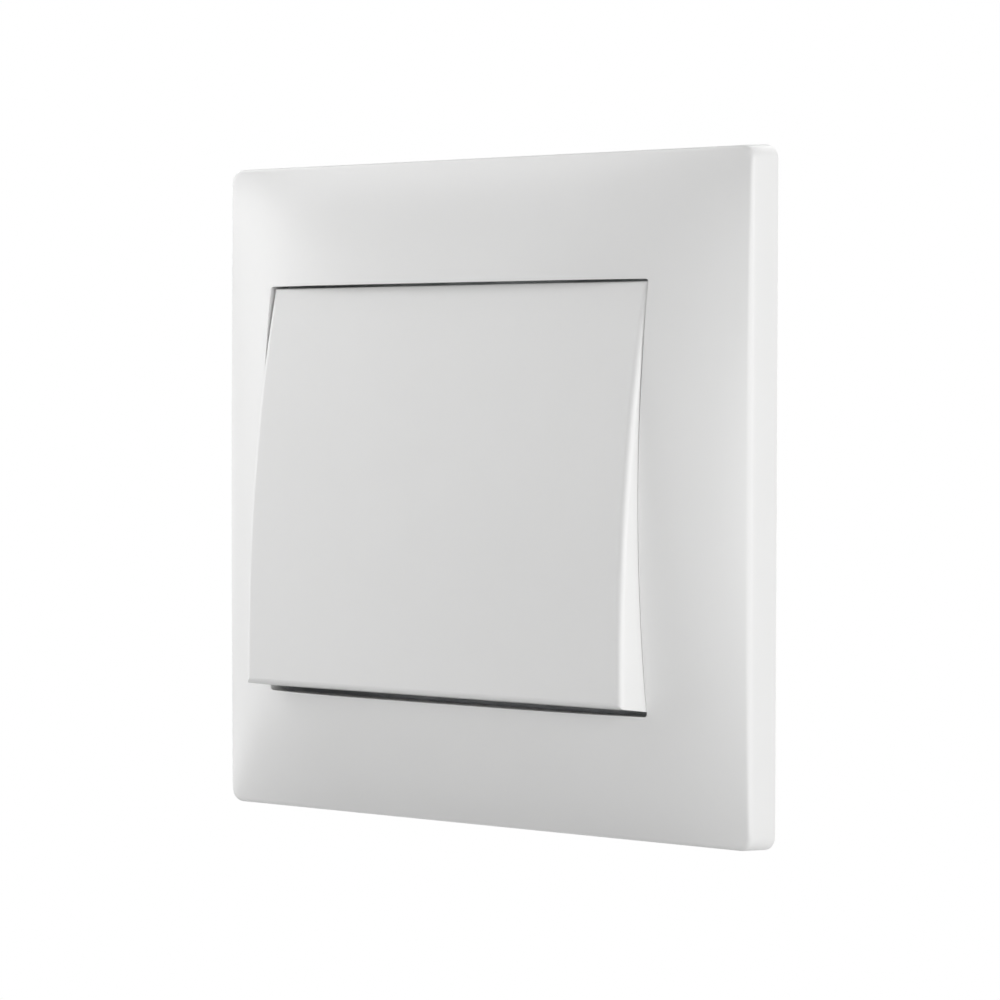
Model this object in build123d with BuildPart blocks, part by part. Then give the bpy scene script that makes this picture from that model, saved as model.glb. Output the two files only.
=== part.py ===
from build123d import *
import os
from math import comb, cos, radians, sin, sqrt, tan

# Flush-mounted light switch: a wide rocker in a crowned square cover frame, over a two-way mechanism.
# X is to the right, Z is up and the front faces -Y. The wall plane is y = 0, and the origin is the middle
# of the line between the fixing screws. "Out" means in front of the wall and "depth" means behind it.
# Everything is drawn as it rests, with the rocker pressed in at the top.

# Cover frame
frame_side = 82.0
frame_edge_depth = 4.7
frame_draft = 3.6
frame_corner_radius = 1.4
frame_edge_rounding = 0.7
frame_wall = 2.0
crown_rise = 9.1
crown_curl_across = 1.0
crown_curl_upright = 0.325
crown_power_across = 4
crown_power_upright = 8
crown_overreach = 1.1
opening_width = 59.5
opening_height = 51.2
opening_draft = 2.0
opening_corner_radius = 0.4
collar_wall = 1.4
collar_depth = 3.0
clip_leg_width = 8.0
clip_leg_thickness = 1.6
clip_leg_spread = 36.0
clip_leg_gap = 1.4
clip_leg_lift = 0.3
clip_leg_lead = 0.4

# Rocker and the line that it turns about
pivot_out = 7.0
rocker_tilt = 6.0
rocker_face_out = 13.45
rocker_face_radius = 200.0
rocker_side_gap = 0.1
rocker_end_gap = 0.43
rocker_draft = 1.5
rocker_wall = 1.8
rocker_skirt_out = 4.5
rocker_edge_rounding = 0.75
rocker_rib = 1.2
rocker_hook_width = 5.0
rocker_hook_thickness = 1.2
rocker_hook_reach = 0.7
rocker_hook_height = 0.9
snap_gap = 0.1

# Cradle that carries the rocker
cradle_side_inset = 4.9
cradle_end_inset = 1.0
cradle_plate = 2.0
cradle_lift = 1.8
cradle_corner_radius = 2.0
cradle_flange = 2.0
cradle_eye_radius = 2.3
stop_bar = 2.0
stop_gap = 0.3
trunnion_radius = 1.5
running_gap = 0.08
cheek_gap = 0.5
hub_radius = 3.4
hub_depth = 4.0
hub_gap = 0.5
plunger_radius = 2.0
plunger_wall = 0.5
plunger_guide = 6.0
plunger_tip_radius = 1.6
plunger_tip_gap = 0.1
spring_wire = 0.5
spring_turns = 8
spring_gap = 0.1
spring_seat_skin = 1.4

# Support ring
ring_margin = 3.2
ring_corner_cut = 7.0
ring_thickness = 1.0
ring_gap = 0.3
fixing_spacing = 60.0
fixing_slot_width = 3.8
fixing_slot_length = 6.4
leg_slot_gap = 0.15
ring_bead_length = 24.0
ring_bead_width = 2.2
ring_bead_height = 0.5
ring_bead_margin = 2.4

# Mechanism housing and its cover
housing_width = 41.0
housing_back = 2.2
housing_corner_radius = 1.5
housing_back_chamfer = 0.8
ear_thickness = 1.6
ear_reach = 4.4
ear_end_gap = 0.97
ear_width = 27.0
chamber_width = 16.0
chamber_end_wall = 2.0
cover_thickness = 1.8
cheek_thickness = 3.4
cheek_height = 9.0
cheek_cap = 3.0
cheek_mouth = 2.5
cover_screw_inset = 3.0
cover_screw_radius = 1.25
cover_screw_length = 9.0
cover_screw_head_radius = 2.3
cover_screw_head = 1.2
rivet_spacing = 19.0
rivet_radius = 1.2
rivet_head_radius = 1.9
rivet_head = 0.7
fastener_gap = 0.05

# Contact works
lever_depth = 14.0
lever_tilt = 8.0
lever_trough = 4.0
lever_overhang = 1.5
lever_width = 6.0
lever_thickness = 1.0
lever_groove_depth = 0.5
lever_groove_half_width = 0.8
knife_gap = 0.1
knife_thickness = 1.0
contact_inset = 0.5
contact_radius = 1.5
moving_contact_height = 0.8
fixed_contact_height = 0.7
contact_shank_radius = 0.8
contact_rounding = 0.25
contact_gap = 0.2
strip_thickness = 0.8
strip_width = 4.4
common_lane = 2.4

# Terminals
terminal_side_inset = 8.0
terminal_end_inset = 6.0
terminal_side = 7.0
terminal_length = 9.0
terminal_bore_radius = 1.4
wire_entry_radius = 1.6
wire_funnel_radius = 2.3
pocket_gap = 0.2
post_side = 5.0
terminal_screw_radius = 1.5
terminal_screw_head_radius = 2.2
terminal_screw_head = 1.8
terminal_screw_access_gap = 0.3
terminal_screw_seat_gap = 0.1
screw_slot_width = 0.7
screw_slot_depth = 0.7

# Spreading claws
claw_thickness = 1.2
claw_width = 13.0
claw_fork_gap = 5.0
claw_foot_depth = 3.0
claw_foot_length = 6.7
claw_length = 15.5
claw_tooth = 2.4
claw_notch_width = 1.6
claw_notch_depth = 0.9
claw_offset = 8.5
claw_side_gap = 0.3
claw_bend_radius = 0.6
claw_screw_reach = 3.7
claw_screw_radius = 1.5
claw_screw_head_radius = 2.7
claw_screw_head = 1.9
claw_screw_length = 13.0
claw_slot_gap = 0.4
claw_slot_play = 0.5
claw_guide_thickness = 1.0
claw_guide_height = 1.4
claw_guide_length = 11.0
claw_guide_gap = 0.4
claw_guide_back = 3.0

# Levels worked out from the sizes above
frame_half = frame_side / 2
ring_side = frame_side - 2 * ring_margin
housing_height = opening_height - 2 * (rocker_end_gap + rocker_wall + ear_end_gap + ear_reach)
cradle_width = housing_width - 2 * cradle_side_inset
cradle_height = housing_height - 2 * cradle_end_inset
terminal_x = housing_width / 2 - terminal_side_inset
terminal_z = housing_height / 2 - terminal_end_inset
contact_reach = terminal_z - contact_inset
lever_half_length = contact_reach + lever_overhang
claw_x = housing_width / 2 + claw_side_gap
claw_screw_x = claw_x + claw_screw_reach
housing_front = ring_thickness + ear_thickness
cover_front = housing_front + cover_thickness
lever_crest = lever_thickness / cos(radians(lever_trough)) - lever_groove_depth
closed_angle = radians(lever_tilt - lever_trough)
contact_rise = contact_reach * tan(radians(lever_trough)) - lever_groove_depth
closed_depth = (
    lever_depth
    + contact_reach * sin(radians(lever_tilt))
    - contact_rise * cos(radians(lever_tilt))
    + moving_contact_height * cos(closed_angle)
)
strip_front = closed_depth + contact_gap + fixed_contact_height
floor_depth = strip_front + strip_thickness
back_depth = floor_depth + housing_back
fixed_contact_z = (
    contact_reach * cos(radians(lever_tilt))
    + contact_rise * sin(radians(lever_tilt))
    - moving_contact_height * sin(closed_angle)
)
plunger_reach = pivot_out + lever_depth - lever_crest - plunger_tip_gap
block_front = strip_front - terminal_length

# Places that several pieces share
terminal_places = {
    "common": (-terminal_x, terminal_z),
    "upper": (terminal_x, terminal_z),
    "lower": (terminal_x, -terminal_z),
}
clip_leg_z = opening_height / 2 + collar_wall + clip_leg_gap + clip_leg_thickness / 2
clip_leg_places = [
    (side * clip_leg_spread / 2, end * clip_leg_z) for side in (-1, 1) for end in (-1, 1)
]
rivet_z = housing_height / 2 + ear_reach / 2
rivet_places = [(side * rivet_spacing / 2, end * rivet_z) for side in (-1, 1) for end in (-1, 1)]
cover_screw_x = chamber_width / 2 + cover_screw_inset
cover_screw_places = [(-cover_screw_x, 0), (cover_screw_x, 0)]
claw_screw_places = [(-claw_screw_x, -claw_offset), (claw_screw_x, claw_offset)]

# Planes: the front planes have Z as their local Y, the section planes have Z as X and out as Y
section = Plane(origin=(0, 0, 0), x_dir=(0, 0, 1), z_dir=(1, 0, 0))
rocker_front = Plane.XZ.offset(pivot_out).rotated((-rocker_tilt, 0, 0))
rocker_section = Plane(rocker_front.origin, x_dir=rocker_front.y_dir, z_dir=rocker_front.x_dir)
lever_front = Plane.XZ.offset(-lever_depth).rotated((lever_tilt, 0, 0))
lever_section = Plane(lever_front.origin, x_dir=lever_front.y_dir, z_dir=lever_front.x_dir)
face_height = rocker_face_out - pivot_out
skirt_height = rocker_skirt_out - pivot_out
cradle_front = cradle_lift + cradle_plate

os.makedirs("parts", exist_ok=True)


def crown_fall(place, curl, power):
    """Share of the crown's rise that is left at a distance from the middle of the plate."""
    share = place / frame_half
    return 1 - (1 - curl) * share**2 - curl * share**power


def crown_out(x, z):
    """Height of the plate's front face above the wall."""
    across = crown_fall(x, crown_curl_across, crown_power_across)
    upright = crown_fall(z, crown_curl_upright, crown_power_upright)
    return frame_edge_depth + crown_rise * across * upright


def crown_poles(curl, power):
    """Places and heights of the control points whose curve is the crown's fall, past both edges."""

    def part(order):
        """A power of the place, in the powers of the way along the curve."""
        return [comb(order, step) * 2**step * (-1) ** (order - step) for step in range(order + 1)]

    terms = [1.0] + [0.0] * power
    for order, share in ((2, 1 - curl), (power, curl)):
        for step, factor in enumerate(part(order)):
            terms[step] -= share * crown_overreach**order * factor
    poles = []
    for pole in range(power + 1):
        place = frame_half * crown_overreach * (2 * pole / power - 1)
        height = sum(comb(pole, step) / comb(power, step) * terms[step] for step in range(pole + 1))
        poles.append((place, height))
    return poles


def crown_face(inset):
    """The crowned front as one smooth patch, moved back by the inset and wider than the plate."""
    points = [
        [
            (x, inset - frame_edge_depth - crown_rise * across * upright, z)
            for z, upright in crown_poles(crown_curl_upright, crown_power_upright)
        ]
        for x, across in crown_poles(crown_curl_across, crown_power_across)
    ]
    return Face.make_bezier_surface(points)


def arch(half_length, low, top, radius):
    """Edges of a closed outline with a round top, in a section plane of the rocker."""
    end = top - radius + sqrt(radius**2 - half_length**2)
    with BuildLine() as outline:
        Polyline((-half_length, end), (-half_length, low), (half_length, low), (half_length, end))
        ThreePointArc((half_length, end), (0, top), (-half_length, end))
    return outline.edges()


# Cover frame: a moulded shell with drafted sides, a crowned front, a collar and four clip legs
block_height = frame_edge_depth + crown_rise
wall_side = frame_side + 2 * frame_edge_depth * tan(radians(frame_draft))
cavity_side = wall_side - 2 * frame_wall
opening_corner_out = crown_out(opening_width / 2, opening_height / 2)
collar_back = opening_corner_out - collar_depth
opening_narrowing = 2 * (block_height - opening_corner_out) * tan(radians(opening_draft))

with BuildPart() as frame_cavity:
    with BuildSketch(Plane.XZ):
        RectangleRounded(cavity_side, cavity_side, frame_corner_radius)
    extrude(amount=block_height, taper=frame_draft)
    extrude(crown_face(frame_wall), amount=2 * block_height, dir=(0, 1, 0), mode=Mode.INTERSECT)
    with BuildSketch(Plane.XZ.offset(collar_back)):
        RectangleRounded(
            opening_width + 2 * collar_wall,
            opening_height + 2 * collar_wall,
            opening_corner_radius + collar_wall,
        )
    extrude(amount=block_height, mode=Mode.SUBTRACT)

with BuildPart() as cover_frame:
    with BuildSketch(Plane.XZ):
        RectangleRounded(wall_side, wall_side, frame_corner_radius)
    extrude(amount=block_height, taper=frame_draft)
    extrude(crown_face(0), amount=2 * block_height, dir=(0, 1, 0), mode=Mode.INTERSECT)
    fillet(cover_frame.faces().sort_by(Axis.Y)[0].edges(), radius=frame_edge_rounding)
    add(frame_cavity.part, mode=Mode.SUBTRACT)
    with BuildSketch(Plane.XZ.offset(block_height)):
        RectangleRounded(
            opening_width - opening_narrowing,
            opening_height - opening_narrowing,
            opening_corner_radius,
        )
    extrude(amount=-block_height, taper=-opening_draft, mode=Mode.SUBTRACT)
    for place in clip_leg_places:
        with BuildSketch(Plane.XZ.offset(clip_leg_lift)):
            with Locations(place):
                Rectangle(clip_leg_width, clip_leg_thickness)
        extrude(amount=crown_out(*place) - frame_wall / 2 - clip_leg_lift)
    leg_ends = cover_frame.faces().filter_by(Plane.XZ).group_by(Axis.Y)[-2]
    chamfer(leg_ends.edges().filter_by(Axis.X), length=clip_leg_lead)
cover_frame.part.label = "cover_frame"
export_step(cover_frame.part, "parts/cover_frame.step")

# Rocker: a thin cap with a cylindrical face, two ribs on the cradle and four snap hooks
rocker_width = opening_width - 2 * rocker_side_gap
rocker_height = opening_height - 2 * rocker_end_gap
hook_x = cradle_width / 2 + snap_gap + rocker_hook_thickness / 2
hook_z = cradle_height / 3
hook_top = face_height - rocker_wall / 2 - hook_z**2 / (2 * rocker_face_radius)
hook_low = cradle_lift - snap_gap - rocker_hook_height
rib_x = cradle_width / 3

with BuildPart() as rocker_hollow:
    with BuildSketch(rocker_front.offset(skirt_height)):
        Rectangle(rocker_width - 2 * rocker_wall, rocker_height - 2 * rocker_wall)
    extrude(amount=face_height - skirt_height, taper=rocker_draft)
    with BuildSketch(rocker_section):
        hollow_top = face_height - rocker_wall
        hollow_radius = rocker_face_radius - rocker_wall
        make_face(arch(rocker_height / 2, skirt_height, hollow_top, hollow_radius))
    extrude(amount=rocker_width, both=True, mode=Mode.INTERSECT)

with BuildPart() as rocker:
    with BuildSketch(rocker_front.offset(skirt_height)):
        Rectangle(rocker_width, rocker_height)
    extrude(amount=face_height - skirt_height + rocker_wall, taper=rocker_draft)
    with BuildSketch(rocker_section):
        make_face(arch(rocker_height / 2, skirt_height, face_height, rocker_face_radius))
    extrude(amount=rocker_width, both=True, mode=Mode.INTERSECT)
    rocker_face = rocker.faces().filter_by(GeomType.CYLINDER).sort_by(SortBy.AREA)[-1]
    fillet(rocker_face.edges(), radius=rocker_edge_rounding)
    add(rocker_hollow.part, mode=Mode.SUBTRACT)
    with BuildSketch(rocker_section.offset(-rib_x), rocker_section.offset(rib_x)):
        rib_half_length = cradle_height / 2 - cradle_corner_radius
        rib_top = face_height - rocker_wall / 2
        make_face(arch(rib_half_length, cradle_front, rib_top, rocker_face_radius))
    extrude(amount=rocker_rib / 2, both=True)
    for side in (-1, 1):
        for end in (-1, 1):
            with BuildSketch(rocker_front.offset(hook_low)):
                with Locations((side * hook_x, end * hook_z)):
                    Rectangle(rocker_hook_thickness, rocker_hook_width)
            extrude(amount=hook_top - hook_low)
            with BuildSketch(rocker_front.offset(hook_low)):
                with Locations((side * (hook_x - rocker_hook_reach / 2), end * hook_z)):
                    Rectangle(rocker_hook_thickness + rocker_hook_reach, rocker_hook_width)
            extrude(amount=rocker_hook_height)
rocker.part.label = "rocker"
export_step(rocker.part, "parts/rocker.step")

# Rocker cradle: a plate with pivot flanges, trunnions, stop bars and the hub of the plunger
trunnion_length = cheek_gap + cheek_thickness - running_gap
stop_z = cradle_height / 2 - stop_bar / 2
stop_low = (
    cover_front
    + stop_gap
    - pivot_out
    + (stop_z + stop_bar / 2) * sin(radians(rocker_tilt))
) / cos(radians(rocker_tilt))
hub_low = -pivot_out - hub_depth
spring_top = cradle_front - spring_seat_skin

with BuildPart() as rocker_cradle:
    with BuildSketch(rocker_front.offset(cradle_lift)):
        RectangleRounded(cradle_width, cradle_height, cradle_corner_radius)
    extrude(amount=cradle_plate)
    flange_planes = [
        rocker_section.offset(-cradle_width / 2),
        rocker_section.offset(cradle_width / 2 - cradle_flange),
    ]
    with BuildSketch(*flange_planes):
        Circle(cradle_eye_radius)
        with Locations((0, cradle_lift / 2)):
            Rectangle(2 * cradle_eye_radius, cradle_lift)
    extrude(amount=cradle_flange)
    with BuildSketch(rocker_section.offset(cradle_width / 2)):
        Circle(trunnion_radius)
    extrude(amount=trunnion_length)
    with BuildSketch(rocker_section.offset(-cradle_width / 2)):
        Circle(trunnion_radius)
    extrude(amount=-trunnion_length)
    with BuildSketch(rocker_front.offset(stop_low)):
        with Locations((0, -stop_z), (0, stop_z)):
            Rectangle(cradle_width - 2 * cradle_corner_radius, stop_bar)
    extrude(amount=cradle_lift - stop_low)
    with BuildSketch(rocker_front.offset(hub_low)):
        Circle(hub_radius)
    extrude(amount=cradle_lift - hub_low)
    with BuildSketch(rocker_front.offset(hub_low)):
        Circle(plunger_radius + running_gap)
    extrude(amount=spring_top - hub_low, mode=Mode.SUBTRACT)
rocker_cradle.part.label = "rocker_cradle"
export_step(rocker_cradle.part, "parts/rocker_cradle.step")

# Plunger: a round cup with a domed tip, pressed onto the contact lever by the spring inside it
cup_top = hub_low + plunger_guide
cup_floor = -plunger_reach + plunger_tip_radius + plunger_wall
cup_bore = plunger_radius - plunger_wall

with BuildPart() as plunger:
    with BuildSketch(rocker_front.offset(-plunger_reach)):
        Circle(plunger_tip_radius)
    extrude(amount=plunger_tip_radius)
    fillet(plunger.edges().sort_by(Axis.Y)[-1], radius=plunger_tip_radius - plunger_tip_gap)
    with BuildSketch(rocker_front.offset(-plunger_reach + plunger_tip_radius)):
        Circle(plunger_radius)
    extrude(amount=cup_top + plunger_reach - plunger_tip_radius)
    with BuildSketch(rocker_front.offset(cup_floor)):
        Circle(cup_bore)
    extrude(amount=cup_top - cup_floor, mode=Mode.SUBTRACT)
plunger.part.label = "plunger"
export_step(plunger.part, "parts/plunger.step")

# Plunger spring: round wire between the floor of the cup and the blind end of the hub's bore
coil_radius = cup_bore - spring_gap - spring_wire / 2
coil_low = cup_floor + spring_wire / 2
coil_height = spring_top - cup_floor - spring_wire

with BuildPart() as plunger_spring:
    with BuildLine() as coil:
        Helix(
            pitch=coil_height / spring_turns,
            height=coil_height,
            radius=coil_radius,
            center=rocker_front.offset(coil_low).origin,
            direction=rocker_front.z_dir,
        )
    with BuildSketch(Plane(coil.line @ 0, z_dir=coil.line % 0)):
        RegularPolygon(spring_wire / 2, 8)
    sweep(path=coil.line, is_frenet=True)
plunger_spring.part.label = "plunger_spring"
export_step(plunger_spring.part, "parts/plunger_spring.step")

# Support ring: the steel plate on the wall that carries the housing, the frame and the claw screws
with BuildPart() as support_ring:
    with BuildSketch(Plane.XZ) as ring_outline:
        Rectangle(ring_side, ring_side)
        chamfer(ring_outline.vertices(), length=ring_corner_cut)
        Rectangle(housing_width + 2 * ring_gap, housing_height + 2 * ring_gap, mode=Mode.SUBTRACT)
        with Locations((-fixing_spacing / 2, 0), (fixing_spacing / 2, 0)):
            SlotOverall(fixing_slot_length, fixing_slot_width, mode=Mode.SUBTRACT)
        with Locations((0, -fixing_spacing / 2), (0, fixing_spacing / 2)):
            SlotOverall(fixing_slot_length, fixing_slot_width, rotation=90, mode=Mode.SUBTRACT)
        with Locations(*clip_leg_places):
            Rectangle(
                clip_leg_width + 2 * leg_slot_gap,
                clip_leg_thickness + 2 * leg_slot_gap,
                mode=Mode.SUBTRACT,
            )
        with Locations(*rivet_places):
            Circle(rivet_radius + fastener_gap, mode=Mode.SUBTRACT)
        with Locations(*claw_screw_places):
            Circle(claw_screw_radius + 2 * fastener_gap, mode=Mode.SUBTRACT)
    extrude(amount=ring_thickness)
    bead_z = ring_side / 2 - ring_bead_margin
    with BuildSketch(Plane.XZ.offset(ring_thickness)):
        with Locations((0, -bead_z), (0, bead_z)):
            SlotOverall(ring_bead_length, ring_bead_width)
    extrude(amount=ring_bead_height)
    with BuildSketch(Plane.XZ):
        with Locations((0, -bead_z), (0, bead_z)):
            SlotOverall(ring_bead_length - 2 * ring_bead_height, ring_bead_width - 2 * ring_bead_height)
    extrude(amount=ring_bead_height, mode=Mode.SUBTRACT)
support_ring.part.label = "support_ring"
export_step(support_ring.part, "parts/support_ring.step")

# Mechanism housing: the moulded body in the wall box, with the contact chamber and terminal pockets
pocket_side = terminal_side + 2 * pocket_gap
terminal_screw_depth = strip_front - terminal_length / 2

with BuildPart() as mechanism_housing:
    with BuildSketch(Plane.XZ.offset(housing_front)):
        RectangleRounded(housing_width, housing_height, housing_corner_radius)
    extrude(amount=-housing_front - back_depth)
    chamfer(mechanism_housing.faces().sort_by(Axis.Y)[-1].edges(), length=housing_back_chamfer)
    with BuildSketch(Plane.XZ.offset(ring_thickness)):
        Rectangle(ear_width, housing_height + 2 * ear_reach)
    extrude(amount=ear_thickness)
    guide_z = claw_width / 2 + claw_guide_gap + claw_guide_thickness / 2
    with BuildSketch(Plane.XZ.offset(-back_depth + claw_guide_back)):
        for side in (-1, 1):
            guide_x = side * (housing_width / 2 + claw_guide_height / 2 - housing_corner_radius / 2)
            for end in (-1, 1):
                with Locations((guide_x, side * claw_offset + end * guide_z)):
                    Rectangle(claw_guide_height + housing_corner_radius, claw_guide_thickness)
    extrude(amount=claw_guide_length)
    with BuildSketch(Plane.XZ.offset(housing_front)):
        Rectangle(chamber_width, housing_height - 2 * chamber_end_wall)
        for x, z in terminal_places.values():
            with Locations((x, z)):
                Rectangle(pocket_side, pocket_side)
            with Locations((x / 2, z)):
                Rectangle(abs(x), strip_width + 2 * pocket_gap)
    extrude(amount=-housing_front - floor_depth, mode=Mode.SUBTRACT)
    with BuildSketch(Plane.XZ.offset(-back_depth)):
        with Locations(*terminal_places.values()):
            Circle(wire_entry_radius)
    extrude(amount=housing_back, mode=Mode.SUBTRACT)
    with BuildSketch(Plane.XZ.offset(-back_depth)):
        with Locations(*terminal_places.values()):
            Circle(wire_funnel_radius)
    extrude(amount=wire_funnel_radius - wire_entry_radius, taper=45, mode=Mode.SUBTRACT)
    for x, z in terminal_places.values():
        with BuildSketch(Plane.XY.offset(z)):
            with Locations((x, terminal_screw_depth)):
                Circle(terminal_screw_head_radius + terminal_screw_access_gap)
        extrude(amount=housing_height * z / abs(z), mode=Mode.SUBTRACT)
    with BuildSketch(Plane.XZ.offset(housing_front)):
        with Locations(*cover_screw_places):
            Circle(cover_screw_radius + fastener_gap)
    extrude(amount=-cover_screw_length, mode=Mode.SUBTRACT)
    with BuildSketch(Plane.XZ.offset(ring_thickness)):
        with Locations(*rivet_places):
            Circle(rivet_radius + fastener_gap)
    extrude(amount=ear_thickness, mode=Mode.SUBTRACT)
mechanism_housing.part.label = "mechanism_housing"
export_step(mechanism_housing.part, "parts/mechanism_housing.step")

# Mechanism cover: closes the housing, holds the terminals down and bears the cradle's trunnions
cheek_x = cradle_width / 2 + cheek_gap + cheek_thickness / 2
cheek_top = pivot_out + cheek_cap
hub_slot_width = 2 * (hub_radius + hub_gap)
hub_swing = (pivot_out - housing_front) * tan(radians(rocker_tilt))
hub_slot_height = 2 * (hub_radius / cos(radians(rocker_tilt)) + hub_swing + hub_gap)

with BuildPart() as mechanism_cover:
    with BuildSketch(Plane.XZ.offset(housing_front)):
        RectangleRounded(housing_width, housing_height, housing_corner_radius)
        Rectangle(hub_slot_width, hub_slot_height, mode=Mode.SUBTRACT)
    extrude(amount=cover_thickness)
    with BuildSketch(Plane.XZ.offset(housing_front)):
        with Locations(*terminal_places.values()):
            Rectangle(post_side, post_side)
    extrude(amount=-housing_front - block_front)
    for side in (-1, 1):
        with BuildSketch(section.offset(side * cheek_x)):
            with Locations((0, (cover_front + cheek_top) / 2)):
                Rectangle(cheek_height, cheek_top - cover_front)
            with Locations((0, pivot_out)):
                Circle(trunnion_radius + running_gap, mode=Mode.SUBTRACT)
            with Locations((0, pivot_out + cheek_cap / 2)):
                Rectangle(cheek_mouth, cheek_cap, mode=Mode.SUBTRACT)
        extrude(amount=cheek_thickness / 2, both=True)
    with Locations(Plane.XZ.offset(cover_front)):
        with Locations(*cover_screw_places):
            CounterBoreHole(
                cover_screw_radius + fastener_gap,
                cover_screw_head_radius + fastener_gap,
                cover_screw_head,
            )
mechanism_cover.part.label = "mechanism_cover"
export_step(mechanism_cover.part, "parts/mechanism_cover.step")

# Cover screws: two slotted cheese-head screws through the cover into the housing
with BuildPart() as cover_screws:
    with BuildSketch(Plane.XZ.offset(cover_front)):
        with Locations(*cover_screw_places):
            Circle(cover_screw_head_radius)
    extrude(amount=-cover_screw_head)
    with BuildSketch(Plane.XZ.offset(cover_front - cover_screw_head)):
        with Locations(*cover_screw_places):
            Circle(cover_screw_radius)
    extrude(amount=-cover_screw_length)
    with BuildSketch(Plane.XZ.offset(cover_front)):
        with Locations(*cover_screw_places):
            Rectangle(2 * cover_screw_head_radius, screw_slot_width)
    extrude(amount=-screw_slot_depth, mode=Mode.SUBTRACT)
cover_screws.part.label = "cover_screws"
export_step(cover_screws.part, "parts/cover_screws.step")

# Ring rivets: four rivets that hold the housing's ears on the front of the support ring
with BuildPart() as ring_rivets:
    for level, reach, radius in (
        (housing_front, rivet_head, rivet_head_radius),
        (0, housing_front, rivet_radius),
        (-rivet_head, rivet_head, rivet_head_radius),
    ):
        with BuildSketch(Plane.XZ.offset(level)):
            with Locations(*rivet_places):
                Circle(radius)
        extrude(amount=reach)
ring_rivets.part.label = "ring_rivets"
export_step(ring_rivets.part, "parts/ring_rivets.step")

# Contact lever: a stamped see-saw blade, bent to a shallow trough and grooved for the knife edge
trough_slope = tan(radians(lever_trough))
groove_edge = lever_groove_half_width * trough_slope - lever_groove_depth
lever_end = lever_half_length * trough_slope - lever_groove_depth
lever_end_front = lever_end + lever_thickness / cos(radians(lever_trough))
arm_planes = [
    Plane(
        lever_section.from_local_coords((end * contact_reach, contact_rise, 0)),
        x_dir=lever_front.x_dir,
        z_dir=lever_front.rotated((end * lever_trough, 0, 0)).z_dir,
    )
    for end in (-1, 1)
]

with BuildPart() as contact_lever:
    with BuildSketch(lever_section):
        with BuildLine():
            Polyline(
                (0, lever_crest),
                (-lever_half_length, lever_end_front),
                (-lever_half_length, lever_end),
                (-lever_groove_half_width, groove_edge),
                (0, 0),
                (lever_groove_half_width, groove_edge),
                (lever_half_length, lever_end),
                (lever_half_length, lever_end_front),
                close=True,
            )
        make_face()
    extrude(amount=lever_width / 2, both=True)
    with BuildSketch(*arm_planes):
        Circle(contact_shank_radius + fastener_gap)
    extrude(amount=2 * lever_thickness, both=True, mode=Mode.SUBTRACT)
contact_lever.part.label = "contact_lever"
export_step(contact_lever.part, "parts/contact_lever.step")

# Lever contacts: two silver rivets, one on the back of each arm
with BuildPart() as lever_contacts:
    with BuildSketch(*arm_planes):
        Circle(contact_radius)
    extrude(amount=-moving_contact_height)
    for plane in arm_planes:
        tips = lever_contacts.faces().filter_by(plane)
        fillet(tips.sort_by(Axis(plane.origin, plane.z_dir))[0].edges(), radius=contact_rounding)
    with BuildSketch(*arm_planes):
        Circle(contact_shank_radius)
    extrude(amount=lever_thickness)
lever_contacts.part.label = "lever_contacts"
export_step(lever_contacts.part, "parts/lever_contacts.step")

# Contact strips: three brass stampings on the floor of the housing, each under its terminal block
strip_plane = Plane.XZ.offset(-floor_depth)
lane_x = (common_lane - chamber_width) / 2 + pocket_gap
strip_end = terminal_x + terminal_side / 2

with BuildPart() as common_strip:
    common_x, common_z = terminal_places["common"]
    lane_outer = lane_x - common_lane / 2
    lane_inner = lane_x + common_lane / 2
    with BuildSketch(strip_plane):
        with Locations(((lane_outer + lever_width / 2) / 2, 0)):
            Rectangle(lever_width / 2 - lane_outer, strip_width)
        with Locations((lane_x, common_z / 2)):
            Rectangle(common_lane, common_z + strip_width)
        with Locations(((lane_inner - strip_end) / 2, common_z)):
            Rectangle(lane_inner + strip_end, strip_width)
        with Locations((common_x, common_z)):
            Circle(wire_entry_radius, mode=Mode.SUBTRACT)
    extrude(amount=strip_thickness)
    with BuildSketch(section):
        knife_tip = -lever_depth - knife_gap
        with BuildLine():
            Polyline(
                (-knife_thickness / 2, -strip_front),
                (knife_thickness / 2, -strip_front),
                (knife_thickness / 2, knife_tip - knife_thickness),
                (0, knife_tip),
                (-knife_thickness / 2, knife_tip - knife_thickness),
                close=True,
            )
        make_face()
    extrude(amount=lever_width / 2, both=True)
common_strip.part.label = "common_strip"
export_step(common_strip.part, "parts/common_strip.step")

for name, end in (("upper", 1), ("lower", -1)):
    x, z = terminal_places[name]
    contact_place = (0, end * fixed_contact_z)
    with BuildPart() as contact_strip:
        with BuildSketch(strip_plane):
            with Locations(((strip_end - strip_width / 2) / 2, z)):
                Rectangle(strip_end + strip_width / 2, strip_width)
            with Locations((x, z)):
                Circle(wire_entry_radius, mode=Mode.SUBTRACT)
            with Locations(contact_place):
                Circle(contact_shank_radius + fastener_gap, mode=Mode.SUBTRACT)
        extrude(amount=strip_thickness)
    contact_strip.part.label = f"{name}_strip"
    export_step(contact_strip.part, f"parts/{name}_strip.step")

    with BuildPart() as fixed_contact:
        with BuildSketch(Plane.XZ.offset(-strip_front)):
            with Locations(contact_place):
                Circle(contact_radius)
        extrude(amount=fixed_contact_height)
        fillet(fixed_contact.edges().sort_by(Axis.Y)[0], radius=contact_rounding)
        with BuildSketch(Plane.XZ.offset(-strip_front)):
            with Locations(contact_place):
                Circle(contact_shank_radius)
        extrude(amount=-strip_thickness)
    fixed_contact.part.label = f"{name}_contact"
    export_step(fixed_contact.part, f"parts/{name}_contact.step")

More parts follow.
